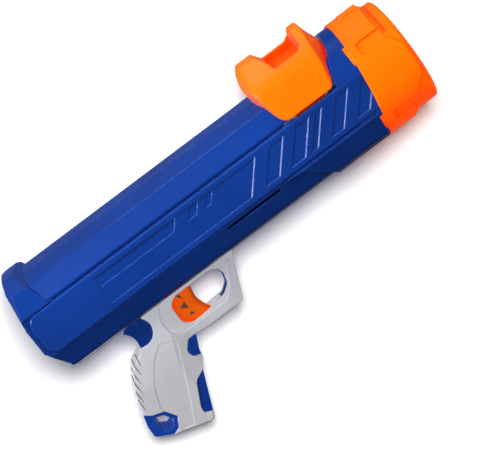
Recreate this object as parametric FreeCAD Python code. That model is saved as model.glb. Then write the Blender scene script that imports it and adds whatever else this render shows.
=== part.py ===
import FreeCAD, Part
import math
import os

# A hand-held launcher that throws a ball for a dog. All sizes are in millimetres.
# The x axis is the bore axis and points out of the muzzle, z points up to the priming handle,
# and the right side of the launcher is at -y. The sizes below count x from a point just ahead of
# the muzzle; the saved pieces are moved so that the origin is the centre of the mouth's rim.

# Ball and barrel
ball_d = 66.8
bore_r = 34.5
tube_wall = 2.0
tube_r = bore_r + tube_wall
mouth_x = -4.8
tube_front_x = mouth_x - 14.0
retainer_r = 33.7
retainer_rear_x = mouth_x - 13.6
retainer_front_x = mouth_x - 4.0

# Body housing
rear_x = -390.0
spigot_front_x = -37.0
shell_wall = 2.4
track_top_z = 39.2
track_corner_w = 33.0
track_corner_z = 37.2
side_w = 45.0
side_top_z = 22.2
side_low_z = -20.0
keel_z = -43.0
hood_rise = 5.3
collar_r = 50.8
collar_rear_x = -56.3
collar_curve_r = 75.0
spigot_r = 48.3
trim_gap = 0.15

# Side panels
panel_half_h = 18.3
panel_w = 47.5
panel_rear_x = -385.6
panel_front_x = -50.0
emboss_depth = 1.0
slant = 0.82

# Priming handle and its stroke
stroke = 215.0
handle_top_z = 70.5
handle_wall = 3.0
arm_low_z = 18.95
arm_high_z = 20.05
slot_low_z = 18.6
slot_high_z = 20.4
arm_rear_x = -113.0
arm_front_x = -83.0
ear_front_x = -116.0
ear_length = 8.0
run_gap = 0.4

# Plunger and main spring
plunger_face_x = -86.0
plunger_r = bore_r - 0.6
plunger_length = 58.0
pad_thickness = 4.0
bulkhead_x = -372.0
bulkhead_thickness = 5.0
spring_r = 28.6
spring_wire = 2.6
spring_turns = 9

# Muzzle cap
cap_r = 52.3
cap_ring_r = 48.0
cap_step_r = 50.3
cap_core_r = 45.6
cap_dome_x = -7.6
cap_inner_r = tube_r + 0.15
clip_angles = (38.0, 142.0, 215.5, 324.5)

# Grip and trigger
grip_top_z = keel_z - 0.2
grip_half_w = 15.0
core_half_w = 7.3
lobe_half_w = 12.5
guard_half_w = 10.5
grip_head_y = 7.5
trigger_half_w = 5.8
channel_half_w = 6.3
trigger_travel = 7.0
tang_x = -323.3
tang_z = -57.8
tang_r = 12.4
web_x = -344.2
web_z = -62.6
web_r = 16.0
sear_pivot_x = -313.6
sear_pivot_z = -46.8


def at_y(y):
    return lambda a, b: FreeCAD.Vector(a, y, b)


def at_x(x):
    return lambda a, b: FreeCAD.Vector(x, a, b)


def at_z(z):
    return lambda a, b: FreeCAD.Vector(a, b, z)


def corner(before, point, after, radius):
    """The two tangent points and the middle of the arc that rounds a corner."""
    ux, uz = before[0] - point[0], before[1] - point[1]
    vx, vz = after[0] - point[0], after[1] - point[1]
    lu, lv = math.hypot(ux, uz), math.hypot(vx, vz)
    ux, uz, vx, vz = ux / lu, uz / lu, vx / lv, vz / lv
    half = math.acos(max(-1.0, min(1.0, ux * vx + uz * vz))) / 2
    reach = min(radius / math.tan(half), 0.49 * lu, 0.49 * lv)
    radius = reach * math.tan(half)
    bx, bz = ux + vx, uz + vz
    lb = math.hypot(bx, bz)
    deep = radius / math.sin(half) - radius
    start = (point[0] + ux * reach, point[1] + uz * reach)
    middle = (point[0] + bx / lb * deep, point[1] + bz / lb * deep)
    end = (point[0] + vx * reach, point[1] + vz * reach)
    return start, middle, end


def outline(points, place):
    """A closed wire. A point is (a, b), or (a, b, r) for a corner rounded with radius r."""
    edges = []
    count = len(points)
    joints = []
    for i, point in enumerate(points):
        if len(point) == 3:
            joints.append(corner(points[i - 1], point, points[(i + 1) % count], point[2]))
        else:
            joints.append((point, None, point))
    for i in range(count):
        start, middle, end = joints[i]
        if middle:
            edges.append(Part.Arc(place(*start), place(*middle), place(*end)).toShape())
        following = joints[(i + 1) % count][0]
        if math.hypot(following[0] - end[0], following[1] - end[1]) > 1e-4:
            edges.append(Part.LineSegment(place(*end), place(*following)).toShape())
    return Part.Wire(edges)


def side_plate(points, y0, y1):
    """A plate with an (x, z) outline between two values of y."""
    return Part.Face(outline(points, at_y(y0))).extrude(FreeCAD.Vector(0, y1 - y0, 0))


def bar(points, x0, x1):
    """A bar with a (y, z) section between two values of x."""
    return Part.Face(outline(points, at_x(x0))).extrude(FreeCAD.Vector(x1 - x0, 0, 0))


def plan_plate(points, z0, z1):
    """A plate with an (x, y) outline between two values of z."""
    return Part.Face(outline(points, at_z(z0))).extrude(FreeCAD.Vector(0, 0, z1 - z0))


def box(x0, x1, y0, y1, z0, z1):
    return Part.makeBox(x1 - x0, y1 - y0, z1 - z0, FreeCAD.Vector(x0, y0, z0))


def rod_x(x0, x1, radius, y=0.0, z=0.0):
    return Part.makeCylinder(radius, x1 - x0, FreeCAD.Vector(x0, y, z), FreeCAD.Vector(1, 0, 0))


def rod_y(x, z, radius, y0, y1):
    return Part.makeCylinder(radius, y1 - y0, FreeCAD.Vector(x, y0, z), FreeCAD.Vector(0, 1, 0))


def rod_z(x, y, radius, z0, z1):
    return Part.makeCylinder(radius, z1 - z0, FreeCAD.Vector(x, y, z0), FreeCAD.Vector(0, 0, 1))


def whole(half):
    """The closed section whose half with y above zero is given from top to bottom."""
    other = [(-p[0],) + tuple(p[1:]) for p in reversed(half) if abs(p[0]) > 1e-6]
    return list(half) + other


def mirror(shape):
    return shape.mirror(FreeCAD.Vector(0, 0, 0), FreeCAD.Vector(0, 1, 0))


def fuse(shapes):
    return shapes[0].fuse(list(shapes[1:])).removeSplitter()


def save(name, shape):
    """Writes a piece with the origin moved to the centre of the mouth's rim."""
    moved = shape.copy()
    moved.translate(FreeCAD.Vector(-mouth_x, 0.0, 0.0))
    moved.exportStep(os.path.join("parts", name + ".step"))


def track_section(grow):
    """The body's section, moved outwards by grow."""
    return whole([
        (0.0, track_top_z + grow),
        (track_corner_w + 0.55 * grow, track_corner_z + grow, 3.0),
        (side_w + grow, side_top_z + 0.55 * grow, 1.5),
        (side_w + grow, side_low_z - 0.2 * grow, 1.5),
        (38.0 + 0.95 * grow, -38.0 - 0.45 * grow, 5.0),
        (30.0 + 0.3 * grow, keel_z + 0.6 - grow, 4.0),
        (0.0, keel_z - grow),
    ])


def hood():
    """The raised hood at the rear, with a leaning front face and a rim round the panels' ends."""
    top_z = track_top_z + hood_rise
    section = whole([
        (0.0, top_z),
        (39.5, 41.0, 3.0),
        (47.9, 20.4),
        (44.0, 19.4),
        (0.0, 19.4),
    ])
    profile = [
        (rear_x, 19.4),
        (rear_x, top_z + 1.0),
        (-377.2, top_z + 1.0),
        (-367.5, 38.4),
        (-360.6, 20.4, 1.0),
        (-360.2, 19.4),
    ]
    rim = box(rear_x, -387.2, -47.4, 47.4, -14.0, 20.0)
    return bar(section, rear_x, -355.0).common(side_plate(profile, -60.0, 60.0)).fuse(rim)


def rear_cuts():
    """The leaning rear face and the two slanting cuts across the hood's rear corners."""
    lean = side_plate([(-400.0, 60.0), (-400.0, 12.0), (-389.6, 12.0), (-386.3, 44.5),
                       (-384.8, 60.0)], -60.0, 60.0)
    corners = []
    for side in (-1, 1):
        block = Part.makeBox(60.0, 60.0, 30.0, FreeCAD.Vector(-30.0, -30.0, 0.0))
        outwards = FreeCAD.Vector(-0.800, side * 0.443, 0.405)
        turn = FreeCAD.Rotation(FreeCAD.Vector(0, 0, 1), outwards)
        block.Placement = FreeCAD.Placement(FreeCAD.Vector(-381.7, side * 39.5, 41.4), turn)
        corners.append(block)
    return fuse([lean] + corners)


def collar():
    """The round collar behind the muzzle cap, and the spigot that the cap goes over."""
    ring = rod_x(-75.0, spigot_front_x, collar_r)
    ring = ring.common(box(-75.0, spigot_front_x, -47.9, 47.9, -46.2, 60.0))
    ring = ring.cut(rod_z(collar_rear_x - collar_curve_r, 0.0, collar_curve_r, -60.0, 60.0))
    spigot = rod_x(-66.0, spigot_front_x, spigot_r)
    spigot = spigot.common(box(-57.0, spigot_front_x, -60.0, 60.0, -60.0, 60.0))
    return fuse([ring.common(behind_cap()), spigot])


def clip_seats():
    """Notches in the housing's front edge that take the cap's four clips."""
    seats = []
    for angle in clip_angles:
        base = clip_base(angle)
        seats.append(cap_sector(angle, 9.1, base - 2.8, base + 6.0, spigot_r - 0.9, 60.0))
    return fuse(seats)


def clip_base(angle):
    return cap_rear(cap_r * math.sin(math.radians(angle)))


def cap_rear(z):
    """The muzzle cap's rear edge leans: it lies further forward at the top."""
    return -52.3 + 0.115 * z


def behind_cap():
    """Everything behind the muzzle cap's leaning rear edge."""
    return side_plate([(-400.0, -60.0), (-400.0, 60.0), (cap_rear(60.0) - trim_gap, 60.0),
                       (cap_rear(-60.0) - trim_gap, -60.0)], -70.0, 70.0)


def shroud():
    """The deeper lower front of the body."""
    profile = [
        (-149.0, -18.9),
        (-134.0, -20.6, 6.0),
        (-123.0, -30.5, 4.0),
        (-113.5, -38.5, 4.0),
        (-108.0, -47.5),
        (spigot_front_x - 15.0, -47.5),
        (spigot_front_x - 15.0, -18.9),
    ]
    form = bar(track_section(2.6), -150.0, -40.0).common(side_plate(profile, -60.0, 60.0))
    return form.common(behind_cap())


def tube_ribs():
    """Half-round ribs inside the body that carry the barrel tube, below the slide blocks."""
    ribs = []
    for x in (-78.0, -150.0, -232.0, -345.0):
        rib = bar(track_section(-1.0), x, x + 2.4)
        ribs.append(rib.common(box(x, x + 2.4, -60.0, 60.0, -60.0, 8.0)))
    open_ribs = [rib.cut(rod_x(rear_x, 0.0, tube_r + trim_gap)) for rib in ribs]
    return open_ribs + [bar(track_section(-1.0), -379.0, -376.0)]


def core_plate_points():
    return [
        (-321.0, keel_z + 1.0),
        (-321.0, -60.0),
        (-330.6, -71.5, 1.0),
        (-335.0, -77.0, 8.0),
        (-352.0, -101.0, 12.0),
        (-358.5, -119.0),
        (-344.6, -123.6),
        (-336.8, -137.8),
        (-341.0, -147.6),
        (-322.0, -154.5, 2.0),
        (-302.6, -113.0),
        (-293.6, -105.8),
        (-292.0, -92.0),
        (-292.0, keel_z + 1.0),
    ]


def core_web_points():
    return [
        (-292.4, keel_z + 1.0),
        (-292.4, -86.9),
        (-238.5, -86.9, 4.0),
        (-223.8, -48.0),
        (-223.8, keel_z + 1.0),
    ]


def grip_core():
    """The blue middle of the grip: a plate with a thin guard web and thicker lobes that show."""
    body = side_plate(core_plate_points(), -core_half_w, core_half_w)
    web = side_plate(core_web_points(), -2.0, 2.0)
    upper = side_plate(insert_upper(-0.2), -lobe_half_w, lobe_half_w)
    lower = side_plate(insert_lower(-0.2), -lobe_half_w, lobe_half_w)
    return fuse([body, web, tang(), upper, lower]).cut(strap_line())


def tang():
    """The lens-shaped lobe behind the grip's top, with the hollow for the web of the hand."""
    disc = rod_y(tang_x, tang_z, tang_r, -lobe_half_w, lobe_half_w)
    top = side_plate([(-326.4, -50.0), (-326.4, keel_z + 1.0), (-313.8, keel_z + 1.0),
                      (-313.8, -50.0)], -lobe_half_w, lobe_half_w)
    hollow = rod_y(web_x, web_z, web_r, -60.0, 60.0)
    return disc.fuse(top).cut(hollow).common(box(-340.0, -300.0, -20.0, 20.0, -80.0, keel_z + 1.0))


def insert_upper(grow):
    """The upper window in the front strap."""
    return [
        (-278.0, -89.0 + grow),
        (-293.6 - grow, -88.4 + grow, 4.0),
        (-300.6 - grow, -96.6, 5.0),
        (-298.6 - grow, -103.8 - grow, 4.0),
        (-286.0, -106.6 - grow),
    ]


def insert_lower(grow):
    """The lower window in the front strap."""
    return [
        (-290.0, -113.4 + grow),
        (-309.4 - grow, -121.6 + grow, 8.0),
        (-320.2 - grow, -143.4, 5.0),
        (-320.6 - grow, -149.6 - grow, 3.0),
        (-304.0, -157.4 - grow),
    ]


def strap_line():
    """The front strap of the grip, as a half plane that trims what shows in its windows."""
    return side_plate([(-250.0, -20.0), (-254.8, -20.0), (-286.0, -90.0), (-291.4, -102.0),
                       (-292.2, -108.4), (-299.0, -117.5), (-314.4, -154.6), (-318.0, -170.0),
                       (-250.0, -170.0)], -60.0, 60.0)


def channel():
    """The space inside the grip's top for the trigger, the sear and their springs."""
    blade_room = side_plate([
        (-299.0, -50.0),
        (-299.0, -66.0),
        (-307.0, -66.0),
        (-307.0, -82.6),
        (-257.0, -82.6),
        (-256.0, -77.8),
        (-247.0, -77.2, 5.0),
        (-239.8, -71.0, 8.0),
        (-237.4, -62.0, 8.0),
        (-239.6, -54.6, 4.0),
        (-247.0, -50.0, 3.0),
    ], -channel_half_w, channel_half_w)
    tongue_room = box(-321.8, -299.0, -3.4, 3.4, -65.0, -57.0)
    spring_room = rod_x(-314.5, -307.0, 4.2, 0.0, -73.0)
    sear_room = side_plate([
        (-321.8, -39.0),
        (-321.8, -58.0),
        (-308.6, -58.0),
        (-308.6, -53.4),
        (-302.4, -53.4),
        (-302.4, -48.6),
        (-293.4, -48.6),
        (-293.4, -38.0),
    ], -3.4, 3.4)
    return fuse([blade_room, tongue_room, spring_room, sear_room, pin_hole()])


def pin_hole():
    return rod_y(sear_pivot_x, sear_pivot_z, 1.5, -6.4, 6.4)


def body_whole():
    """Both halves of the housing in one solid, before it is split down the middle."""
    main_form = bar(track_section(0.0), rear_x, -40.0).common(behind_cap())
    shell = fuse([main_form, hood(), collar(), shroud()])
    tail = side_plate([(rear_x - 1, -12.6), (rear_x - 1, -60.0), (-374.0, -60.0),
                       (-374.0, keel_z - 1.0), (rear_x + 0.6, -15.0, 3.0)], -60.0, 60.0)
    shell = shell.cut(tail)
    hollow = bar(track_section(-shell_wall), rear_x + 3.0, -60.0)
    tail_wall = side_plate([(rear_x, -14.0), (rear_x, -60.0), (-370.0, -60.0),
                            (-370.0, keel_z - 1.0), (rear_x + 3.6, -14.0)], -60.0, 60.0)
    hollow = hollow.cut(tail_wall)
    mouth = rod_x(-62.0, 0.0, tube_r + trim_gap)
    shell = shell.cut(rear_cuts()).cut(hollow).cut(mouth).cut(clip_seats())
    shell = fuse([shell, grip_core()] + tube_ribs())
    shell = shell.cut(rod_x(-377.0, 0.0, tube_r + trim_gap).cut(rod_x(-400.0, -300.0, 10.0)))
    slot = box(-358.0, -72.0, -60.0, 60.0, slot_low_z, slot_high_z)
    keyhole = side_plate([(-210.8, -20.6), (-210.8, -23.8), (-157.0, -23.8), (-157.0, -20.6)],
                         -60.0, 60.0)
    panel_seat = side_plate(panel_points(trim_gap), -60.0, -side_w + 0.6)
    shell = shell.cut(fuse([channel(), slot])).cut(keyhole.common(side_bands()))
    return shell.cut(panel_seat).cut(mirror(panel_seat))


def side_bands():
    """The two side walls, without what lies between them."""
    return box(rear_x, 0.0, -60.0, -37.0, -60.0, 60.0).fuse(box(rear_x, 0.0, 37.0, 60.0, -60.0, 60.0))


def body_shell(side):
    """One half of the housing: side is -1 for the right and 1 for the left."""
    low, high = (-80.0, 0.0) if side < 0 else (0.0, 80.0)
    half = body_whole().common(box(rear_x - 5, 5.0, low, high, -200.0, 100.0))
    for x, z, seat in body_screw_places() + grip_screw_places():
        half = half.cut(rod_y(x, z, 1.25, -9.0, 60.0))
    if side > 0:
        for x, z, seat in body_screw_places():
            half = half.cut(rod_y(x, z, 3.4, seat, 60.0))
    return biggest(half)


def biggest(shape):
    return max(shape.Solids, key=lambda solid: solid.Volume)


def body_screw_places():
    """The x and z of each housing screw, and the y on which its head sits."""
    return [(-377.5, 33.0, 24.0), (-377.5, -27.0, 28.0), (-50.0, 43.6, 14.0),
            (-76.0, -41.6, 14.0), (-104.0, -41.6, 14.0)]


def grip_screw_places():
    places = ((-226.6, -54.0), (-311.0, -92.0), (-345.0, -112.0), (-331.0, -147.0))
    return [(x, z, grip_head_y) for x, z in places]


def screws(places, tip_y, head_r):
    """Pan-head screws with axes along y, heads on the left side."""
    group = []
    for x, z, head_y in places:
        shank = rod_y(x, z, 1.25, tip_y, head_y)
        head = rod_y(x, z, head_r, head_y, head_y + 2.0)
        cross = box(x - 0.5, x + 0.5, head_y + 1.0, head_y + 3.0, z - 1.9, z + 1.9)
        cross = cross.fuse(box(x - 1.9, x + 1.9, head_y + 1.0, head_y + 3.0, z - 0.5, z + 0.5))
        group.append(shank.fuse(head).removeSplitter().cut(cross))
    return Part.makeCompound(group)


def panel_points(grow):
    """The side panel's outline, with its rear corners well rounded."""
    h = panel_half_h + grow
    return [
        (panel_rear_x - grow, h, 9.0),
        (panel_rear_x - grow, -h, 9.0),
        (panel_front_x, -h + 1.6),
        (panel_front_x, h),
    ]


def recess(left, right, low, high, depth, square=False):
    """A shallow pocket in the panel with sloping walls. Left and right are its ends at z = 0."""
    rear_slant = 0.0 if square else slant
    face_y = -panel_w
    mouth = [
        (left + rear_slant * low, low),
        (left + rear_slant * high, high),
        (right + slant * high, high),
        (right + slant * low, low),
    ]
    low, high, left, right = low + 0.2, high - 0.3, left + 0.2, right - 1.2
    floor = [
        (left + rear_slant * low, low),
        (left + rear_slant * high, high),
        (right + slant * high, high),
        (right + slant * low, low),
    ]
    top, bottom = outline(mouth, at_y(face_y - 0.01)), outline(floor, at_y(face_y + depth))
    return Part.makeLoft([top, bottom], True, True)


def side_panel():
    """The right panel: a raised plate with a long stepped band and leaning recesses."""
    face_y = -panel_w
    plate = side_plate(panel_points(0.0), face_y, -side_w + 0.6)
    plate = plate.common(behind_cap())
    rim = [e for e in plate.Edges if e.BoundBox.YMax < face_y + 0.01
           and (e.BoundBox.XLength > 100.0 or e.BoundBox.XMax < -300.0)]
    plate = plate.makeChamfer(0.8, rim)
    plate = plate.cut(recess(-321.0, -169.6, -12.4, 13.6, emboss_depth, True))
    plate = plate.cut(recess(-320.0, -249.2, 3.6, 12.9, emboss_depth + 0.7, True))
    for left, right in ((-235.8, -226.2), (-219.2, -211.8)):
        plate = plate.cut(recess(left, right, 3.8, 12.9, emboss_depth + 0.7))
    for left, right in ((-156.2, -141.4), (-130.0, -115.5), (-109.6, -102.8), (-89.3, -76.6),
                        (-63.9, -50.5)):
        plate = plate.cut(recess(left, right, -12.4, 13.6, emboss_depth))
    return plate


def barrel_tube():
    """The barrel, with a long slot on each side for the plunger's ears and a window for the sear."""
    tube = rod_x(bulkhead_x, tube_front_x, tube_r).cut(rod_x(-400.0, 10.0, bore_r))
    for side in (-1, 1):
        low, high = sorted((side * 20.0, side * 60.0))
        tube = tube.cut(box(-342.0, -88.0, low, high, 17.6, 22.8))
    return tube.cut(box(-309.0, -293.0, -4.2, 4.2, -60.0, -20.0))


def ball_retainer():
    """A soft ring in the cap's mouth, a little narrower than the barrel, that holds the ball."""
    ring = rod_x(retainer_rear_x, retainer_front_x, tube_r).cut(rod_x(retainer_rear_x - 4.0, 0.0, retainer_r))
    rear = Part.makeCone(bore_r, retainer_r, 1.2, FreeCAD.Vector(retainer_rear_x, 0, 0),
                         FreeCAD.Vector(1, 0, 0))
    front = Part.makeCone(retainer_r, bore_r, 1.2, FreeCAD.Vector(retainer_front_x - 1.2, 0, 0),
                          FreeCAD.Vector(1, 0, 0))
    ring = ring.cut(rear.fuse(front))
    for step in range(6):
        ring = ring.cut(cap_sector(60.0 * step + 30.0, 2.5, retainer_front_x - 5.8, 0.0, 30.0,
                                   bore_r + 0.2))
    return ring


def cap_sector(angle, half_width, x0, x1, r0, r1):
    """A block that stands on the cap at an angle round the bore axis."""
    block = box(x0, x1, r0, r1, -half_width, half_width)
    block.rotate(FreeCAD.Vector(0, 0, 0), FreeCAD.Vector(1, 0, 0), angle)
    return block


def cap_outline():
    """The cap's outer skin from the side: straight leaning rear edge, stepped front edge."""
    return [
        (cap_rear(-60.0), -60.0),
        (cap_rear(60.0), 60.0),
        (-17.4, 60.0),
        (-17.6, 52.0),
        (-19.4, 41.5, 8.0),
        (-16.6, 27.0, 6.0),
        (cap_dome_x, 14.5, 5.0),
        (cap_dome_x, -8.5, 8.0),
        (-20.6, -23.7, 5.0),
        (-24.0, -35.0, 8.0),
        (-29.8, -43.0),
        (-31.8, -60.0),
    ]


def cap_slot(angle, x0, x1):
    """A shallow slot in the cap's skin, open to the front, with round rear corners."""
    slot = side_plate([(x0, -6.2, 3.0), (x1, -6.2), (x1, 6.2), (x0, 6.2, 3.0)], cap_r - 1.8, 60.0)
    slot.rotate(FreeCAD.Vector(0, 0, 0), FreeCAD.Vector(1, 0, 0), angle)
    return slot


def muzzle_cap():
    """The castellated cap: an outer skin with domed sides, a chamfer, a front ring and clips."""
    skin = rod_x(-66.0, cap_dome_x, cap_r)
    skin = rounded_rims(skin, 3.0, lambda e: e.BoundBox.XMin > -10.0)
    skin = skin.common(side_plate(cap_outline(), -60.0, 60.0))
    core = rod_x(-44.0, mouth_x - 2.0, cap_core_r)
    chamfer = Part.makeCone(cap_r, 47.6, 8.4, FreeCAD.Vector(-24.9, 0, 0),
                            FreeCAD.Vector(1.0, 0.0, -0.114))
    ring = rod_x(-24.0, mouth_x, cap_ring_r, 0.0, -1.0)
    ring = rounded_rims(ring, 2.5, lambda e: abs(e.BoundBox.XMin - mouth_x) < 0.01)
    groove = rod_x(-14.6, -12.8, 60.0).cut(rod_x(-20.0, -5.0, cap_core_r))
    groove = groove.common(box(-20.0, 0.0, -60.0, 60.0, 30.0, 60.0))
    front = fuse([core, chamfer, ring]).cut(groove)
    step = rod_x(-24.0, -8.0, cap_step_r).fuse(
        Part.makeCone(cap_step_r, 47.5, 2.8, FreeCAD.Vector(-8.0, 0, 0), FreeCAD.Vector(1, 0, 0)))
    step = step.common(box(-30.0, 0.0, -60.0, 60.0, -31.5, 30.0))
    added = []
    for angle in clip_angles:
        base = clip_base(angle)
        clip = cap_sector(angle, 8.8, base - 2.4, base + 4.0, 30.0, 60.0)
        tab = rod_x(-70.0, -30.0, cap_r - 0.3).cut(rod_x(-70.0, -30.0, spigot_r + 0.3))
        added.append(clip.common(tab))
    for angle, x0, x1 in ((90.0, -35.8, -17.6), (270.0, -51.0, -31.0)):
        pad = cap_sector(angle, 7.0, x0, x1, 45.0, 60.0)
        added.append(pad.common(rod_x(-60.0, -10.0, cap_r + 0.8)))
    cap = fuse([skin, front, step] + added)
    for angle, x0, x1 in ((37.0, -41.0, -12.0), (143.0, -41.0, -12.0), (215.5, -46.8, -18.0),
                          (324.5, -46.8, -18.0)):
        cap = cap.cut(cap_slot(angle, x0, x1))
    socket = rod_x(-75.0, -35.8, spigot_r + trim_gap)
    bore = rod_x(-75.0, retainer_front_x + 0.1, cap_inner_r).fuse(rod_x(-75.0, 5.0, bore_r + 0.2))
    mouth = Part.makeCone(bore_r + 0.2, bore_r + 3.2, 3.0, FreeCAD.Vector(mouth_x - 3.0, 0, 0),
                          FreeCAD.Vector(1, 0, 0))
    return biggest(cap.removeSplitter().cut(socket.fuse(bore)).cut(mouth))


def rounded_rims(shape, radius, wanted):
    edges = [e for e in shape.Edges if e.BoundBox.XLength < 12.0 and wanted(e)
             and e.BoundBox.ZLength > 20.0]
    return shape.makeFillet(radius, edges)


def handle_stations():
    """Heights with the saddle's half width and the x of its rear and front in the middle."""
    return [
        (21.8, 48.8, -127.0, -58.5),
        (25.0, 47.7, -129.4, -57.2),
        (31.0, 45.7, -131.1, -57.2),
        (38.0, 43.4, -132.3, -57.2),
        (45.0, 41.0, -133.4, -57.5),
        (50.0, 38.7, -133.6, -58.6),
        (54.0, 35.0, -133.0, -60.2),
        (60.0, 26.6, -131.1, -62.8),
        (66.0, 16.6, -128.8, -64.8),
        (69.0, 11.5, -127.6, -65.5),
        (70.5, 9.0, -127.0, -66.0),
    ]


def handle_form(inset):
    """The saddle's outer form, or the same moved inwards and down by inset."""
    wires = []
    for z, half_w, rear, front in handle_stations():
        w = half_w - inset
        rear, front = rear + inset, front - inset
        rear_bow, front_bow = w * w / 400.0, w * w / 130.0
        wires.append(outline([
            (rear + rear_bow, -w, 4.5),
            (rear - 0.33 * rear_bow, 0.0, 900.0),
            (rear + rear_bow, w, 4.5),
            (front - front_bow, w, 2.0),
            (front + 0.33 * front_bow, 0.0, 900.0),
            (front - front_bow, -w, 2.0),
        ], at_z(z - inset)))
    return Part.makeLoft(wires, True, False)


def track_clearance():
    return bar(track_section(0.6), -150.0, -40.0)


def priming_handle():
    """The orange saddle: hollow, with a finger notch, a pocket and a lip through each slot."""
    outer = handle_form(0.0)
    hollow = handle_form(handle_wall)
    under_floor = box(-150.0, -40.0, -60.0, 60.0, 0.0, 47.0)
    posts = box(-150.0, -112.5, -60.0, 60.0, 40.0, 90.0).fuse(
        box(-70.0, -40.0, -60.0, 60.0, 40.0, 90.0))
    notch = side_plate([(-111.5, 90.0), (-110.6, handle_top_z, 1.5), (-103.0, 56.8, 2.0),
                        (-78.2, 56.8, 5.0), (-73.4, handle_top_z, 1.5), (-73.0, 90.0)], -60, 60)
    pocket = plan_plate([(-103.0, -26.5, 3.0), (-103.0, 26.5, 3.0), (-75.0, 26.5, 3.0),
                         (-75.0, -26.5, 3.0)], 50.0, 70.0)
    shape = outer.cut(hollow.common(under_floor.fuse(posts)))
    shape = shape.cut(notch.fuse(pocket)).cut(track_clearance())
    for x in handle_screw_xs():
        boss = rod_z(x, 0.0, 4.0, 43.4, 48.0)
        shape = shape.fuse(boss).cut(rod_z(x, 0.0, 1.5, 30.0, 60.0))
        shape = shape.cut(rod_z(x, 0.0, 3.3, 48.8, 80.0))
    for side in (-1, 1):
        shape = shape.fuse(handle_lip(side))
    return biggest(shape.removeSplitter())


def handle_lip(side):
    """The hook at the skirt's edge that goes through the body's slot into the slide block."""
    drop = [(46.9, arm_low_z), (46.9, 23.6), (45.4, 23.6), (45.4, arm_high_z), (36.0, arm_high_z),
            (36.0, arm_low_z)]
    lip = bar(drop, arm_rear_x, arm_front_x).cut(rod_z(-98.0, 38.2, 1.2, 0.0, 60.0))
    return lip if side > 0 else mirror(lip)


def handle_screw_xs():
    return (-107.0 + 6.0, -78.4)


def handle_screws():
    """Two screws in the notch's floor, and one through each slide block."""
    group = []
    for x in handle_screw_xs():
        shank = rod_z(x, 0.0, 1.4, 41.2, 49.0)
        head = rod_z(x, 0.0, 3.0, 48.9, 50.4)
        cross = box(x - 2.0, x + 2.0, -0.5, 0.5, 49.6, 51.0).fuse(
            box(x - 0.5, x + 0.5, -2.0, 2.0, 49.6, 51.0))
        group.append(shank.fuse(head).removeSplitter().cut(cross))
    for side in (-1, 1):
        group.append(rod_z(-98.0, side * 38.2, 1.2, 14.6, arm_high_z))
    return Part.makeCompound(group)


def handle_glide():
    """The low-friction plate that carries the handle along the track."""
    plate = plan_plate([(-122.0, -24.0, 4.0), (-122.0, 24.0, 4.0), (-68.0, 24.0, 4.0),
                        (-68.0, -24.0, 4.0)], 36.0, 43.2)
    plate = plate.cut(bar(track_section(0.35), -150.0, -40.0))
    for x in handle_screw_xs():
        plate = plate.cut(rod_z(x, 0.0, 1.4, 30.0, 60.0))
    return plate


def slide_block(side):
    """Runs between tube and housing: it takes the handle's lip and pushes the plunger's ear."""
    block = box(arm_rear_x - 2.0, arm_front_x + 2.0, 28.0, 41.6, 14.0, 25.6)
    block = block.cut(rod_x(-200.0, 0.0, tube_r + 0.45))
    block = block.common(bar(track_section(-shell_wall - 0.6), -150.0, -50.0))
    slot = box(arm_rear_x - 0.1, arm_front_x + 0.1, 35.9, 60.0, arm_low_z - 0.05, arm_high_z + 0.05)
    block = block.cut(slot).cut(rod_z(-98.0, 38.2, 1.2, 0.0, 60.0))
    block = biggest(block)
    return block if side > 0 else mirror(block)


def plunger():
    """A cup that pushes the ball, with two ears through the tube's slots and a sear catch."""
    cup = rod_x(plunger_face_x - plunger_length, plunger_face_x, plunger_r)
    cup = cup.cut(rod_x(plunger_face_x - plunger_length - 1.0, plunger_face_x - 4.0, plunger_r - 2.6))
    hub = rod_x(plunger_face_x - 12.0, plunger_face_x - 3.0, 9.0)
    hub = hub.cut(rod_x(plunger_face_x - 13.0, plunger_face_x - 5.0, 6.5))
    ribs = []
    for step in range(3):
        rib = box(plunger_face_x - 9.0, plunger_face_x - 3.0, -26.0, 26.0, -1.0, 1.0)
        rib.rotate(FreeCAD.Vector(0, 0, 0), FreeCAD.Vector(1, 0, 0), 60.0 * step + 30.0)
        ribs.append(rib.cut(rod_x(-150.0, 0.0, 8.0)))
    cup = fuse([cup, hub] + ribs)
    for side in (-1, 1):
        low, high = sorted((side * 26.0, side * 38.6))
        ear = box(ear_front_x - ear_length, ear_front_x, low, high, 18.0, 22.4)
        cup = cup.fuse(ear.cut(rod_x(-200.0, 0.0, plunger_r - 2.6)))
    catch = box(-108.0, -94.0, -5.0, 5.0, -60.0, -20.0)
    return cup.removeSplitter().cut(catch)


def plunger_pad():
    """The soft pad on the plunger's face, dished to the ball."""
    pad = rod_x(plunger_face_x, plunger_face_x + pad_thickness, plunger_r - 3.0)
    ball = Part.makeSphere(ball_d / 2 + 12.0, FreeCAD.Vector(plunger_face_x + 47.0, 0, 0))
    return pad.cut(ball)


def rear_bulkhead():
    """The spring seat that closes the tube's rear end."""
    disc = rod_x(bulkhead_x - bulkhead_thickness + 1.0, bulkhead_x, tube_r)
    spigot = rod_x(bulkhead_x - 1.0, bulkhead_x + 5.0, bore_r - trim_gap)
    spigot = spigot.cut(rod_x(bulkhead_x + 1.5, bulkhead_x + 6.0, bore_r - 2.4))
    hub = rod_x(bulkhead_x - 1.0, bulkhead_x + 9.0, spring_r - spring_wire)
    hub = hub.cut(rod_x(bulkhead_x + 1.5, bulkhead_x + 10.0, spring_r - spring_wire - 2.4))
    return fuse([disc, spigot, hub])


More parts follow.
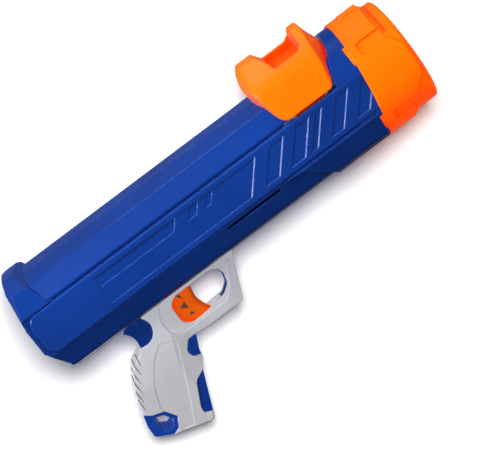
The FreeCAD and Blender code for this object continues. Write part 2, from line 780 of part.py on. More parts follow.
def helix_wire(x0, x1, radius, turns, y=0.0, z=0.0):
    """A coil's centre line along x as arcs: two to each half turn, which meet in line."""
    steps = turns * 4
    pitch = (x1 - x0) / turns

    def point(turn):
        angle = 2 * math.pi * turn
        return FreeCAD.Vector(x0 + pitch * turn, y + radius * math.cos(angle),
                              z + radius * math.sin(angle))

    edges = []
    for step in range(steps):
        start = step / 4.0
        edges.append(Part.Arc(point(start), point(start + 0.125), point(start + 0.25)).toShape())
    return Part.Wire(edges), point


def coil(name, x0, x1, radius, turns, wire_r, y=0.0, z=0.0):
    """An unbroken wound wire along x."""
    path, point = helix_wire(x0, x1, radius, turns, y, z)
    start = point(0.0)
    tangent = point(0.01).sub(start)
    ring = Part.Wire(Part.makeCircle(wire_r, start, tangent))
    tube = path.makePipeShell([ring], True, False)
    gap = (x1 - x0) / turns - 2 * wire_r
    print(name, "turns", turns, "least gap between turns", round(gap, 2), "volume",
          round(tube.Volume), "expected", round(path.Length * math.pi * wire_r ** 2))
    return tube


def main_spring():
    return coil("main spring", bulkhead_x + 1.5 + spring_wire / 2 + 0.3,
                plunger_face_x - 4.0 - spring_wire / 2 - 0.3, spring_r, spring_turns,
                spring_wire / 2)


def trigger():
    """The sliding trigger, with a finger curve, a tongue to the sear and a spring bore."""
    blade = side_plate([
        (-291.4, -50.4, 1.0),
        (-291.4, -66.4),
        (-299.4, -66.4, 1.0),
        (-299.4, -82.2, 1.0),
        (-262.6, -82.2),
        (-261.8, -80.8),
        (-264.8, -75.0, 8.0),
        (-267.4, -66.0, 14.0),
        (-265.4, -57.0, 8.0),
        (-264.6, -50.4),
    ], -trigger_half_w, trigger_half_w)
    lips = [e for e in blade.Edges if e.BoundBox.YLength < 0.01 and e.BoundBox.XMin > -272.0
            and e.BoundBox.ZLength > 2.0]
    blade = blade.makeFillet(4.0, lips).common(box(-310.0, -250.0, -9.0, 9.0, -90.0, -50.4))
    tongue = box(-305.6, -291.0, -3.0, 3.0, -63.6, -58.6)
    bore = rod_x(-300.0, -286.0, 3.9, 0.0, -73.0)
    blade = blade.fuse(tongue).removeSplitter().cut(bore)
    for mark in trigger_marks():
        blade = blade.cut(side_plate(mark, -9.0, -trigger_half_w + 1.0))
        blade = blade.cut(side_plate(mark, trigger_half_w - 1.0, 9.0))
    return blade


def trigger_marks():
    """Three small triangles sunk into each side of the trigger."""
    return [
        [(-280.2, -53.9), (-276.6, -53.3), (-276.2, -59.4)],
        [(-283.8, -64.8), (-277.0, -61.3), (-276.7, -68.5)],
        [(-280.8, -75.1), (-277.6, -72.1), (-274.2, -75.4)],
    ]


def trigger_spring():
    return coil("trigger spring", -313.9, -286.6, 2.9, 6, 0.4, 0.0, -73.0)


def sear():
    """The bell crank that catches the plunger: nose up in the tube's window, arm down."""
    plate = side_plate([
        (-317.2, -43.0, 2.0),
        (-316.6, -64.2, 1.0),
        (-311.2, -64.2, 1.0),
        (-310.4, -50.6, 2.0),
        (-304.0, -46.4, 1.0),
        (-297.6, -44.8, 1.0),
        (-297.6, -35.2, 0.5),
        (-301.6, -35.2, 0.5),
        (-303.2, -41.2, 2.0),
        (-310.0, -42.6, 2.0),
    ], -2.8, 2.8)
    return plate.cut(rod_y(sear_pivot_x, sear_pivot_z, 1.8, -10.0, 10.0))


def sear_pin():
    return rod_y(sear_pivot_x, sear_pivot_z, 1.5, -6.4, 6.4)


def sear_spring():
    spring = coil("sear spring", 0.0, 5.0, 1.9, 3, 0.3)
    spring.rotate(FreeCAD.Vector(0, 0, 0), FreeCAD.Vector(0, 1, 0), -90.0)
    spring.translate(FreeCAD.Vector(-305.5, 0.0, -53.0))
    return spring


def stop_bumpers():
    """Rubber pads at the front ends of the slide blocks' run."""
    pads = []
    for side in (-1, 1):
        pad = box(-80.4, -76.0, 28.0, 41.6, 14.0, 25.6).cut(rod_x(-200.0, 0.0, tube_r + 0.3))
        pad = biggest(pad.common(bar(track_section(-shell_wall - 0.3), -150.0, -50.0)))
        pads.append(pad if side > 0 else mirror(pad))
    return Part.makeCompound(pads)


def cover_outline():
    """The grip cover's side view: back strap, butt, front strap and trigger guard."""
    return [
        (-312.0, grip_top_z),
        (-318.0, grip_top_z),
        (-326.0, -70.6),
        (-333.8, -69.8, 3.0),
        (-344.0, -80.0, 12.0),
        (-354.6, -95.4, 20.0),
        (-361.2, -113.0, 20.0),
        (-366.0, -130.0, 12.0),
        (-366.4, -140.8, 4.0),
        (-350.0, -149.4, 10.0),
        (-316.6, -160.0, 5.0),
        (-299.0, -117.5, 3.0),
        (-292.2, -108.4, 4.0),
        (-291.4, -102.0),
        (-286.0, -90.0),
        (-236.3, -90.0, 2.5),
        (-217.9, -46.4, 1.0),
        (-217.4, grip_top_z),
    ]


def guard_hole():
    """The finger hole in the guard; its rear end shows the trigger's side."""
    return [
        (-280.4, -51.8, 3.0),
        (-288.4, -56.6, 9.0),
        (-288.2, -76.4, 9.0),
        (-280.0, -80.6, 4.0),
        (-246.6, -78.4, 7.0),
        (-238.4, -72.0, 8.0),
        (-236.0, -62.0, 8.0),
        (-238.0, -54.0, 5.0),
        (-246.0, -51.6, 4.0),
    ]


def trigger_recess():
    """A shallow flat round the guard's hole, a little wider than it."""
    return [
        (-289.0, -47.4, 5.0),
        (-296.4, -50.2, 6.0),
        (-302.6, -62.0, 10.0),
        (-302.2, -73.4, 7.0),
        (-293.4, -82.0, 2.0),
        (-246.8, -82.0, 10.0),
        (-237.0, -71.5, 10.0),
        (-231.2, -57.0, 5.0),
        (-233.6, -48.8, 4.0),
    ]


def butt_outline(grow):
    return [
        (-376.0, -106.6 + grow),
        (-356.7, -122.6 + grow, 2.0),
        (-346.4 + grow, -126.2 + grow, 2.0),
        (-339.9 + grow, -136.8, 1.0),
        (-345.4 + grow, -146.6 - grow),
        (-351.8, -149.0 - grow),
        (-366.6, -140.6 - grow),
        (-376.0, -134.6 - grow),
    ]


def serrations():
    """Six thin upright cuts that make the teeth of the back strap."""
    cuts = []
    places = ((-337.6, -72.9), (-342.4, -78.7), (-347.0, -85.0), (-351.1, -91.9), (-354.9, -99.7),
              (-357.8, -106.8))
    for x, z in places:
        cuts.append(side_plate([(x - 1.0, z + 3.0), (x + 0.7, z + 3.0), (x + 0.2, z - 9.4),
                                (x - 0.3, z - 9.4)], -60, 60))
    return cuts


def grip_form(inset):
    """The space that the right cover's outer face fills: wide at the palm, narrow at the guard."""
    section = bar([
        (5.0, grip_top_z + 0.01),
        (-guard_half_w - 1.2 + inset, grip_top_z + 0.01),
        (-guard_half_w - 1.4 + inset, -58.0, 30.0),
        (-grip_half_w + inset, -100.0, 40.0),
        (-grip_half_w + inset, -170.0),
        (5.0, -170.0),
    ], -380.0, -200.0)
    plan = plan_plate([
        (-380.0, 5.0),
        (-380.0, -grip_half_w + inset),
        (-312.0, -grip_half_w + inset, 12.0),
        (-289.0, -guard_half_w + inset, 12.0),
        (-200.0, -guard_half_w + inset),
        (-200.0, 5.0),
    ], -170.0, grip_top_z + 0.01)
    return section.common(plan)


def palm_panel():
    """The outline of the flat panel on the cover's palm."""
    return [
        (-347.2, -121.2),
        (-340.4, -103.4, 30.0),
        (-327.4, -85.4, 16.0),
        (-314.0, -75.4, 5.0),
        (-301.4, -83.8, 2.0),
        (-318.4, -121.6, 60.0),
        (-333.0, -152.2),
        (-342.5, -149.0),
    ]


def grip_cover():
    """The right grip cover with its half of the trigger guard."""
    solid = soften(side_plate(cover_outline(), -grip_half_w, 0.0)).common(grip_form(0.0))
    solid = solid.cut(side_plate(trigger_recess(), -60.0, -guard_half_w + 0.8))
    solid = solid.cut(side_plate(guard_hole(), -60.0, 1.0))
    solid = solid.cut(rod_y(tang_x, tang_z, tang_r + 0.3, -60.0, 1.0))
    solid = solid.cut(box(-328.0, -313.5, -60.0, 1.0, -52.0, -40.0))
    solid = solid.cut(rod_y(web_x, web_z, web_r, -60.0, 1.0))
    for window in (insert_upper(0.0), insert_lower(0.0), butt_outline(0.0)):
        solid = solid.cut(side_plate(window, -60.0, 1.0))
    solid = solid.cut(serrations())
    solid = solid.cut(side_plate(palm_panel(), -60.0, 0.0).cut(grip_form(0.6)))
    solid = solid.cut(core_pocket())
    for x, z, seat in grip_screw_places():
        solid = solid.cut(rod_y(x, z, 1.25, -grip_half_w + 4.0, 1.0))
    return biggest(solid)


def soften(plate):
    """Rounds the outer edges of the flat plate along the back, the butt and the front strap."""
    edges = [e for e in plate.Edges if e.BoundBox.YMax < -grip_half_w + 0.01
             and e.BoundBox.ZMax < -71.0 and e.BoundBox.XMax < -298.0]
    return plate.makeFillet(1.5, edges)


def core_pocket():
    """Room in the cover for the blue core, its web, the trigger channel and the pins."""
    room = side_plate(core_plate_points(), -core_half_w - 0.1, 1.0)
    thin = side_plate(core_web_points(), -2.1, 1.0)
    return fuse([room, thin, channel()])


def cover_left():
    """The left cover is the right one mirrored, with sinks for the screws' heads."""
    cover = mirror(grip_cover())
    for x, z, seat in grip_screw_places():
        cover = cover.cut(rod_y(x, z, 2.7, grip_head_y, 30.0))
    return cover


def strap_loop():
    """The butt insert: a framed window for a wrist strap, with ridges at the back."""
    points = butt_outline(-0.25)
    block = side_plate(points, -lobe_half_w, lobe_half_w)
    block = block.common(side_plate(cover_outline(), -20.0, 20.0))
    window = [
        (-358.0, -125.6, 1.0),
        (-348.8, -129.4, 1.0),
        (-344.6, -137.6, 1.0),
        (-347.6, -143.0, 1.0),
        (-352.4, -144.8, 1.0),
        (-358.0, -141.0, 1.0),
    ]
    block = block.cut(side_plate(window, -20.0, 20.0))
    for step in range(4):
        x, z = -360.6 - 0.9 * step, -123.6 - 3.9 * step
        tooth_gap = [(x - 8.0, z - 0.2), (x - 8.0, z + 1.6), (x, z - 1.2), (x, z - 3.0)]
        block = block.cut(side_plate(tooth_gap, -20.0, 20.0))
    return biggest(block)


def main():
    os.makedirs("parts", exist_ok=True)
    save("body_shell_right", body_shell(-1))
    save("body_shell_left", body_shell(1))
    save("side_panel_right", side_panel())
    save("side_panel_left", mirror(side_panel()))
    save("barrel_tube", barrel_tube())
    save("ball_retainer", ball_retainer())
    save("muzzle_cap", muzzle_cap())
    save("priming_handle", priming_handle())
    save("handle_screws", handle_screws())
    save("handle_glide", handle_glide())
    save("slide_block_right", slide_block(-1))
    save("slide_block_left", slide_block(1))
    save("plunger", plunger())
    save("plunger_pad", plunger_pad())
    save("rear_bulkhead", rear_bulkhead())
    save("main_spring", main_spring())
    save("stop_bumpers", stop_bumpers())
    save("trigger", trigger())
    save("trigger_spring", trigger_spring())
    save("sear", sear())
    save("sear_pin", sear_pin())
    save("sear_spring", sear_spring())
    save("grip_cover_right", grip_cover())
    save("grip_cover_left", cover_left())
    save("strap_loop", strap_loop())
    save("body_screws", screws(body_screw_places(), -8.0, 3.0))
    save("grip_screws", screws(grip_screw_places(), -8.2, 2.4))


if __name__ == "__main__":
    main()
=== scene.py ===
import math

import bpy
from mathutils import Matrix, Vector


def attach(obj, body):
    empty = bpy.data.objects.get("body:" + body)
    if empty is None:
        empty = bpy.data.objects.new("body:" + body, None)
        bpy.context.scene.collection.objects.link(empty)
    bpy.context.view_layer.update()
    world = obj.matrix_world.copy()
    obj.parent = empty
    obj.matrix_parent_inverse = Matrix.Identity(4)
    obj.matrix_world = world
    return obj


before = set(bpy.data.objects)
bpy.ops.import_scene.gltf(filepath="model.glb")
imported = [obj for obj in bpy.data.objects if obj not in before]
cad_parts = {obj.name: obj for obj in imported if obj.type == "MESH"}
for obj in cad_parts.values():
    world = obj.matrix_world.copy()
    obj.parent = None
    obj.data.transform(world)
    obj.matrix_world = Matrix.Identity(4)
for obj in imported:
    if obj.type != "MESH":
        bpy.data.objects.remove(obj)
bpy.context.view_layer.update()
MM = 0.001

# The camera stands square to the barrel and a little above it. Its roll makes the barrel rise.
CAMERA_LIFT = math.radians(17.5)
CAMERA_ROLL = math.radians(36.9)
CAMERA_DISTANCE = 1.5
SENSOR_WIDTH_MM = 36.0
CENTRE = Vector((-0.1962, 0.0, -0.0448))
WIDTH_AT_CENTRE = 0.4084

BARREL = Vector((1.0, 0.0, 0.0))
AHEAD = Vector((0.0, math.cos(CAMERA_LIFT), -math.sin(CAMERA_LIFT)))
OUT = -AHEAD
LEVEL_UP = Vector((0.0, math.sin(CAMERA_LIFT), math.cos(CAMERA_LIFT)))
RIGHT = BARREL * math.cos(CAMERA_ROLL) - LEVEL_UP * math.sin(CAMERA_ROLL)
UP = BARREL * math.sin(CAMERA_ROLL) + LEVEL_UP * math.cos(CAMERA_ROLL)

TABLE_DEPTH = 0.0635
TABLE_HALF = 1.6
TABLE_COLOUR = (0.90, 0.90, 0.90)
ROOM_LIGHT = 0.20
SOFT_LAMP = (1.6, 0.8)  # distance from the launcher and side of the square, in metres
WARM_LIGHT = (1.0, 0.22, 0.05)

BLUE = (0.003, 0.038, 0.262)
# Painted light: the side panel has the shell's blue, drawn lighter to stand in for the extra light
# it catches.
PANEL_BLUE_PAINTED_LIGHTER = (0.004, 0.044, 0.300)
TUBE_BLUE = (0.003, 0.028, 0.210)
INSERT_BLUE = (0.004, 0.046, 0.340)
# The edge colours are paler edges: partly worn plastic, partly painted highlight along the edges.
BLUE_EDGE = (0.16, 0.26, 0.72)
ORANGE = (1.0, 0.190, 0.0)
ORANGE_EDGE = (1.0, 0.30, 0.03)
# Painted shade: the deeper orange laid into the hollows of the orange pieces.
PAINTED_SHADE_ORANGE = (1.0, 0.045, 0.0)
TRIGGER_ORANGE = (0.92, 0.14, 0.004)
GREY = (0.560, 0.565, 0.597)
GREY_EDGE = (0.74, 0.74, 0.76)
NATURAL = (0.62, 0.60, 0.54)
NATURAL_EDGE = (0.75, 0.74, 0.70)
BLACK = (0.022, 0.022, 0.024)
DARK_INLAY = (0.085, 0.040, 0.022)
DARK_INLAY_EDGE = (0.16, 0.08, 0.05)
SCREW_STEEL = (0.62, 0.62, 0.64)
PRESSED_STEEL = (0.45, 0.46, 0.48)
WIRE_STEEL = (0.52, 0.53, 0.56)
SHELL_GLOSS = 0.08
HANDLE_LIP_Z = 0.0209  # below this height the handle's lips run inside the body, and there they are painted nearly black as shade
# How far the occlusion mask reaches for the painted shade in hollows.
HOLLOW_REACH = 0.03

# The corners, as x and z in millimetres, of the dark triangles in the trigger's sides
TRIGGER_TRIANGLES = (
    ((-275.2, -54.3), (-272.0, -53.7), (-271.6, -59.0)),
    ((-278.7, -64.8), (-272.4, -61.7), (-272.1, -68.1)),
    ((-275.7, -74.9), (-272.9, -72.4), (-269.8, -75.2)),
)
INLAY_FACE_Y = 5.45
INLAY_FLOOR_Y = 4.7


def make_camera():
    data = bpy.data.cameras.new("camera")
    data.sensor_width = SENSOR_WIDTH_MM
    data.lens = (SENSOR_WIDTH_MM / 2) / (WIDTH_AT_CENTRE / 2 / CAMERA_DISTANCE)
    data.clip_start = 0.05
    data.clip_end = 20.0
    camera = bpy.data.objects.new("camera", data)
    bpy.context.scene.collection.objects.link(camera)
    place = Matrix((RIGHT, UP, OUT)).transposed().to_4x4()
    place.translation = CENTRE + OUT * CAMERA_DISTANCE
    camera.matrix_world = place
    bpy.context.scene.camera = camera


def scaled(colour, share):
    return tuple(part * share for part in colour)


class Shader:
    """A node material under construction: short names for the nodes that every finish uses."""

    def __init__(self, name):
        self.material = bpy.data.materials.new(name)
        self.material.use_nodes = True
        self.tree = self.material.node_tree
        self.bsdf = self.tree.nodes["Principled BSDF"]

    def node(self, kind, **settings):
        made = self.tree.nodes.new(kind)
        for key, value in settings.items():
            setattr(made, key, value)
        return made

    def link(self, source, target):
        self.tree.links.new(source, target)

    def place(self, stretch=(1.0, 1.0, 1.0)):
        """Object coordinates in metres, stretched."""
        coordinates = self.node("ShaderNodeTexCoord")
        mapping = self.node("ShaderNodeMapping")
        mapping.inputs["Scale"].default_value = stretch
        self.link(coordinates.outputs["Object"], mapping.inputs["Vector"])
        return mapping.outputs["Vector"]

    def noise(self, scale, detail=3.0, stretch=(1.0, 1.0, 1.0)):
        made = self.node("ShaderNodeTexNoise")
        made.inputs["Scale"].default_value = scale
        made.inputs["Detail"].default_value = detail
        self.link(self.place(stretch), made.inputs["Vector"])
        return made.outputs["Fac"]

    def ramp(self, source, low, high, low_value=0.0, high_value=1.0):
        """Turns the range low to high into low_value to high_value, with no overshoot."""
        made = self.node("ShaderNodeMapRange", clamp=True)
        for name, value in (("From Min", low), ("From Max", high), ("To Min", low_value),
                            ("To Max", high_value)):
            made.inputs[name].default_value = value
        self.link(source, made.inputs["Value"])
        return made.outputs["Result"]

    def math(self, kind, first, second):
        made = self.node("ShaderNodeMath", operation=kind, use_clamp=True)
        for socket, value in zip(made.inputs, (first, second)):
            if isinstance(value, float):
                socket.default_value = value
            else:
                self.link(value, socket)
        return made.outputs["Value"]

    def mix(self, factor, first, second):
        made = self.node("ShaderNodeMix", data_type="RGBA")
        self.link(factor, made.inputs[0])
        for socket, value in ((made.inputs[6], first), (made.inputs[7], second)):
            if isinstance(value, tuple):
                socket.default_value = (*value, 1.0)
            else:
                self.link(value, socket)
        return made.outputs[2]

    def rounded_normal(self, radius):
        """A normal that runs softly round moulded edges."""
        made = self.node("ShaderNodeBevel", samples=6)
        made.inputs["Radius"].default_value = radius
        return made.outputs["Normal"]

    def edge_mask(self, soft_normal):
        """1 on outside and inside edges, 0 on the faces between them."""
        geometry = self.node("ShaderNodeNewGeometry")
        dot = self.node("ShaderNodeVectorMath", operation="DOT_PRODUCT")
        self.link(soft_normal, dot.inputs[0])
        self.link(geometry.outputs["Normal"], dot.inputs[1])
        return self.ramp(dot.outputs["Value"], 0.995, 0.80)

    def height(self):
        """The height on the piece, in metres from the barrel's axis."""
        split = self.node("ShaderNodeSeparateXYZ")
        self.link(self.place(), split.inputs["Vector"])
        return split.outputs["Z"]

    def openness(self, distance):
        """1 on open faces, towards 0 in hollows, where light bounces from wall to wall; it masks
        the painted shade laid into hollows.
        """
        made = self.node("ShaderNodeAmbientOcclusion", samples=6)
        made.inputs["Distance"].default_value = distance
        return made.outputs["AO"]

    def bump(self, height, strength, distance, normal):
        made = self.node("ShaderNodeBump")
        made.inputs["Strength"].default_value = strength
        made.inputs["Distance"].default_value = distance
        self.link(height, made.inputs["Height"])
        self.link(normal, made.inputs["Normal"])
        return made.outputs["Normal"]


def moulded(name, colour, wear_and_highlight_colour, rough, edge_radius=0.0005, grain=0.05, grain_scale=2600.0,
            specular=SHELL_GLOSS, scuff=0.5, hollow_shade_colour=None, painted_shade_below=None):
    """Injection-moulded plastic: slow tone changes, fine grain, scuffs, and paler edges that are
    partly worn and partly painted highlight.

    An optional colour is painted shade laid into the hollows, and below an optional height the
    piece is painted nearly black as shade.
    """
    s = Shader(name)
    soft = s.rounded_normal(edge_radius)
    edges = s.edge_mask(soft)
    light = tuple(min(1.0, part * 1.08) for part in colour)
    base = s.mix(s.ramp(s.noise(14.0, 2.0), 0.35, 0.65), scaled(colour, 0.88), light)
    # Painted shade: hollows are mixed towards the deeper colour where the occlusion mask falls.
    if hollow_shade_colour is not None:
        base = s.mix(s.ramp(s.openness(HOLLOW_REACH), 0.40, 0.92), hollow_shade_colour, base)
    # Painted shade: below the given height the piece is painted nearly black, standing in for the
    # shade inside the body's slot.
    if painted_shade_below is not None:
        base = s.mix(s.ramp(s.height(), painted_shade_below, painted_shade_below + 0.0006),
                     scaled(colour, 0.10), base)
    # Paler edges, partly worn and partly painted highlight, scattered by noise.
    edge_wear_and_highlight = s.math("MULTIPLY", edges, s.ramp(s.noise(420.0, 4.0), 0.35, 0.7, 0.15, 0.75))
    s.link(s.mix(edge_wear_and_highlight, base, wear_and_highlight_colour), s.bsdf.inputs["Base Color"])
    scratches = s.noise(900.0, 2.0, (0.06, 1.0, 1.0))
    scuffs = s.math("MULTIPLY", s.ramp(scratches, 0.62, 0.74, 0.0, scuff),
                    s.ramp(s.noise(36.0, 2.0), 0.52, 0.66))
    polish = s.ramp(s.noise(60.0, 4.0), 0.3, 0.7, rough * 0.86, rough * 1.18)
    s.link(s.math("ADD", polish, s.math("MULTIPLY", scuffs, 0.25)), s.bsdf.inputs["Roughness"])
    s.bsdf.inputs["Specular IOR Level"].default_value = specular
    fine = s.bump(s.noise(grain_scale, 2.0), grain, 0.0002, soft)
    s.link(s.bump(s.noise(55.0, 1.0), 0.10, 0.0006, fine), s.bsdf.inputs["Normal"])
    return s.material


def rubber(name, colour):
    s = Shader(name)
    soft = s.rounded_normal(0.0004)
    base = s.mix(s.ramp(s.noise(90.0, 4.0), 0.3, 0.7), colour, scaled(colour, 1.6))
    s.link(base, s.bsdf.inputs["Base Color"])
    s.link(s.ramp(s.noise(300.0, 3.0), 0.3, 0.7, 0.55, 0.8), s.bsdf.inputs["Roughness"])
    s.link(s.bump(s.noise(1400.0, 3.0), 0.25, 0.0003, soft), s.bsdf.inputs["Normal"])
    return s.material


def steel(name, colour, stretch, rough):
    """Plated or drawn steel with fine lines along one direction."""
    s = Shader(name)
    soft = s.rounded_normal(0.0003)
    lines = s.noise(1500.0, 3.0, stretch)
    base = s.mix(s.ramp(s.noise(80.0, 4.0), 0.3, 0.7), colour, scaled(colour, 0.72))
    s.link(base, s.bsdf.inputs["Base Color"])
    s.bsdf.inputs["Metallic"].default_value = 1.0
    s.link(s.ramp(lines, 0.3, 0.7, rough * 0.75, rough * 1.35), s.bsdf.inputs["Roughness"])
    s.link(s.bump(lines, 0.18, 0.0001, soft), s.bsdf.inputs["Normal"])
    return s.material


def dress_cad():
    """Gives each CAD node its finish."""
    # Fine grain, and painted shade in the hollows of the orange pieces.
    orange_grain_and_shade = dict(grain=0.06, hollow_shade_colour=PAINTED_SHADE_ORANGE)
    finishes = (
        (moulded("blue_shell", BLUE, BLUE_EDGE, 0.30), ("body_shell_right", "body_shell_left")),
        (moulded("blue_panel", PANEL_BLUE_PAINTED_LIGHTER, BLUE_EDGE, 0.26, 0.0006),
         ("side_panel_right", "side_panel_left")),
        (moulded("blue_tube", TUBE_BLUE, BLUE_EDGE, 0.22, 0.0003), ("barrel_tube",)),
        (moulded("blue_insert", INSERT_BLUE, BLUE_EDGE, 0.28), ("strap_loop",)),
        (moulded("orange_cap", ORANGE, ORANGE_EDGE, 0.40, 0.0009, **orange_grain_and_shade),
         ("muzzle_cap",)),
        (moulded("orange_handle", ORANGE, ORANGE_EDGE, 0.36, 0.0010, painted_shade_below=HANDLE_LIP_Z,
                 **orange_grain_and_shade), ("priming_handle",)),
        (moulded("orange_trigger", TRIGGER_ORANGE, ORANGE_EDGE, 0.34, 0.0006,
                 hollow_shade_colour=PAINTED_SHADE_ORANGE), ("trigger",)),
        (moulded("grey_grip", GREY, GREY_EDGE, 0.46, 0.0008, 0.12, 1900.0, scuff=0.25),
         ("grip_cover_right", "grip_cover_left")),
        (moulded("natural_glide", NATURAL, NATURAL_EDGE, 0.42, 0.0004, specular=0.5),
         ("handle_glide", "slide_block_right", "slide_block_left", "plunger", "rear_bulkhead")),
        (rubber("black_rubber", BLACK), ("ball_retainer", "stop_bumpers", "plunger_pad")),
        (steel("screw_steel", SCREW_STEEL, (1.0, 0.1, 1.0), 0.32),
         ("body_screws", "grip_screws", "handle_screws", "sear_pin")),
        (steel("pressed_steel", PRESSED_STEEL, (0.1, 1.0, 1.0), 0.38), ("sear",)),
        (steel("spring_wire", WIRE_STEEL, (1.0, 0.2, 0.2), 0.26),
         ("main_spring", "trigger_spring", "sear_spring")),
    )
    for finish, names in finishes:
        for name in names:
            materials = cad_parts[name].data.materials
            materials.clear()
            materials.append(finish)


def mesh_piece(name, corners, faces, material):
    mesh = bpy.data.meshes.new(name)
    mesh.from_pydata(corners, [], faces)
    mesh.update()
    mesh.materials.append(material)
    piece = bpy.data.objects.new(name, mesh)
    bpy.context.scene.collection.objects.link(piece)
    return piece


def make_trigger_inlays():
    """Three dark triangles let into each side of the trigger."""
    dark = moulded("dark_inlay", DARK_INLAY, DARK_INLAY_EDGE, 0.5, 0.0002, specular=0.5)
    faces = [(0, 1, 2), (5, 4, 3), (0, 3, 4, 1), (1, 4, 5, 2), (2, 5, 3, 0)]
    for side, word in ((-1, "right"), (1, "left")):
        for number, triangle in enumerate(TRIGGER_TRIANGLES, 1):
            corners = [(x * MM, side * y * MM, z * MM)
                       for y in (INLAY_FACE_Y, INLAY_FLOOR_Y) for x, z in triangle]
            piece = mesh_piece("trigger_inlay_%s_%d" % (word, number), corners, faces, dark)
            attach(piece, "trigger_unit")


def lamp(name, direction, power, place=SOFT_LAMP, diffuse=True, glossy=False, shadow=False):
    """A soft square lamp that shines on the launcher from a direction."""
    distance, size = place
    data = bpy.data.lights.new(name, "AREA")
    data.shape = "SQUARE"
    data.size = size
    data.energy = power
    data.use_shadow = shadow
    lamp_object = bpy.data.objects.new(name, data)
    bpy.context.scene.collection.objects.link(lamp_object)
    lamp_object.visible_diffuse = diffuse
    lamp_object.visible_glossy = glossy
    toward = Vector(direction).normalized()
    lamp_object.location = CENTRE + toward * distance
    lamp_object.rotation_mode = "QUATERNION"
    lamp_object.rotation_quaternion = toward.to_track_quat("Z", "Y")
    return lamp_object


def light_only(lamp_object, pieces):
    """Lets a lamp light these pieces and nothing else."""
    group = bpy.data.collections.new("lit_by_" + lamp_object.name)
    for piece in pieces:
        group.objects.link(piece)
    lamp_object.light_linking.receiver_collection = group


def light_all_but(lamp_object, pieces):
    """Lets a lamp light everything apart from these pieces."""
    light_only(lamp_object, pieces)
    for item in lamp_object.light_linking.receiver_collection.collection_objects:
        item.light_linking.link_state = "EXCLUDE"


def cad_nodes(*names):
    return [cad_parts[name] for name in names]


def make_lights(floor):
    """Soft light from the upper left. The grip stands clear of the body's shadow."""
    from_key = OUT * 0.78 + LEVEL_UP * 0.60 - BARREL * 0.16
    key = lamp("key_lamp", from_key, 18.5, shadow=True)
    fill = lamp("fill_lamp", from_key, 10.0)
    grip_key = lamp("grip_lamp", from_key, 22.5)
    rear = lamp("rear_lamp", OUT * 0.45 + LEVEL_UP * 0.30 - BARREL * 0.85, 12.0)
    warm = lamp("warm_lamp", OUT * 0.60 - LEVEL_UP * 0.55 + BARREL * 0.35, 26.0)
    warm.data.color = WARM_LIGHT
    sheen = lamp("sheen_lamp", OUT * 0.74 + LEVEL_UP * 0.675 - BARREL * 0.34, 3.0, (1.6, 0.45),
                 diffuse=False, glossy=True)
    left = lamp("left_glint", OUT * 0.30 - RIGHT * 0.94 - UP * 0.15, 40.0, (1.5, 0.4),
                diffuse=False, glossy=True)
    top = lamp("top_glint", OUT * 0.10 + LEVEL_UP, 8.0, (1.5, 0.3), diffuse=False, glossy=True)
    back = lamp("back_lamp", AHEAD * 0.90 + LEVEL_UP * 0.30 + BARREL * 0.35, 20.0, shadow=True)
    back_fill = lamp("back_fill_lamp", AHEAD * 0.90 - BARREL * 0.45 - LEVEL_UP * 0.15, 9.0,
                     glossy=True)
    table = lamp("table_lamp", OUT + UP * 0.13 - RIGHT * 0.03, 34.0, (1.6, 0.42), shadow=True)
    grip = cad_nodes("grip_cover_right", "grip_cover_left", "trigger", "strap_loop", "grip_screws")
    light_only(table, [floor])
    light_only(grip_key, grip)
    light_only(warm, cad_nodes("muzzle_cap", "priming_handle"))
    light_all_but(key, [floor] + grip)
    for studio_lamp in (fill, rear, sheen, left, top, back, back_fill):
        light_all_but(studio_lamp, [floor])


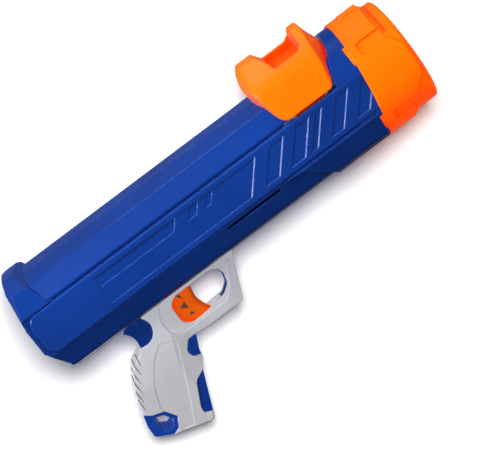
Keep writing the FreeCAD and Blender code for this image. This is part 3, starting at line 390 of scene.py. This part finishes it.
def make_world():
    """An even room light. The white backdrop is seen directly, through things and in gloss."""
    world = bpy.data.worlds.new("studio")
    bpy.context.scene.world = world
    world.use_nodes = True
    tree = world.node_tree
    tree.nodes.clear()

    def math_node(kind, first, second):
        made = tree.nodes.new("ShaderNodeMath")
        made.operation = kind
        tree.links.new(first, made.inputs[0])
        tree.links.new(second, made.inputs[1])
        return made.outputs["Value"]

    def white_light(strength):
        made = tree.nodes.new("ShaderNodeBackground")
        made.inputs["Color"].default_value = (1.0, 1.0, 1.0, 1.0)
        made.inputs["Strength"].default_value = strength
        return made.outputs["Background"]

    path = tree.nodes.new("ShaderNodeLightPath").outputs
    coordinates = tree.nodes.new("ShaderNodeTexCoord")
    facing = tree.nodes.new("ShaderNodeVectorMath")
    facing.operation = "DOT_PRODUCT"
    facing.inputs[1].default_value = OUT
    tree.links.new(coordinates.outputs["Generated"], facing.inputs[0])
    before_table = tree.nodes.new("ShaderNodeMapRange")
    before_table.inputs["From Min"].default_value = 0.0
    before_table.inputs["From Max"].default_value = 0.5
    tree.links.new(facing.outputs["Value"], before_table.inputs["Value"])
    in_gloss = math_node("MULTIPLY", path["Is Glossy Ray"], before_table.outputs["Result"])
    through = math_node("MAXIMUM", path["Is Camera Ray"], path["Is Transmission Ray"])
    mix = tree.nodes.new("ShaderNodeMixShader")
    tree.links.new(math_node("MAXIMUM", through, in_gloss), mix.inputs["Fac"])
    tree.links.new(white_light(ROOM_LIGHT), mix.inputs[1])
    tree.links.new(white_light(1.0), mix.inputs[2])
    output = tree.nodes.new("ShaderNodeOutputWorld")
    tree.links.new(mix.outputs["Shader"], output.inputs["Surface"])


def table_finish():
    """Matt and pale from the launcher's side, clear from behind."""
    s = Shader("pale_table")
    s.bsdf.inputs["Base Color"].default_value = (*TABLE_COLOUR, 1.0)
    s.bsdf.inputs["Roughness"].default_value = 0.9
    s.bsdf.inputs["Specular IOR Level"].default_value = 0.0
    geometry = s.node("ShaderNodeNewGeometry")
    clear = s.node("ShaderNodeBsdfTransparent")
    mix = s.node("ShaderNodeMixShader")
    s.link(geometry.outputs["Backfacing"], mix.inputs["Fac"])
    s.link(s.bsdf.outputs["BSDF"], mix.inputs[1])
    s.link(clear.outputs["BSDF"], mix.inputs[2])
    s.link(mix.outputs["Shader"], s.tree.nodes["Material Output"].inputs["Surface"])
    return s.material


def make_floor():
    """The pale table top that the launcher lies on, on its left side."""
    middle = CENTRE + AHEAD * TABLE_DEPTH
    corners = [tuple(middle + RIGHT * (x * TABLE_HALF) + UP * (y * TABLE_HALF))
               for x, y in ((-1, -1), (1, -1), (1, 1), (-1, 1))]
    floor = mesh_piece("floor", corners, [(0, 1, 2, 3)], table_finish())
    floor.visible_glossy = False
    floor.visible_diffuse = False
    floor.visible_shadow = False
    return floor


def main():
    make_camera()
    dress_cad()
    make_trigger_inlays()
    make_lights(make_floor())
    make_world()
    bpy.context.scene.view_settings.view_transform = "Standard"


main()
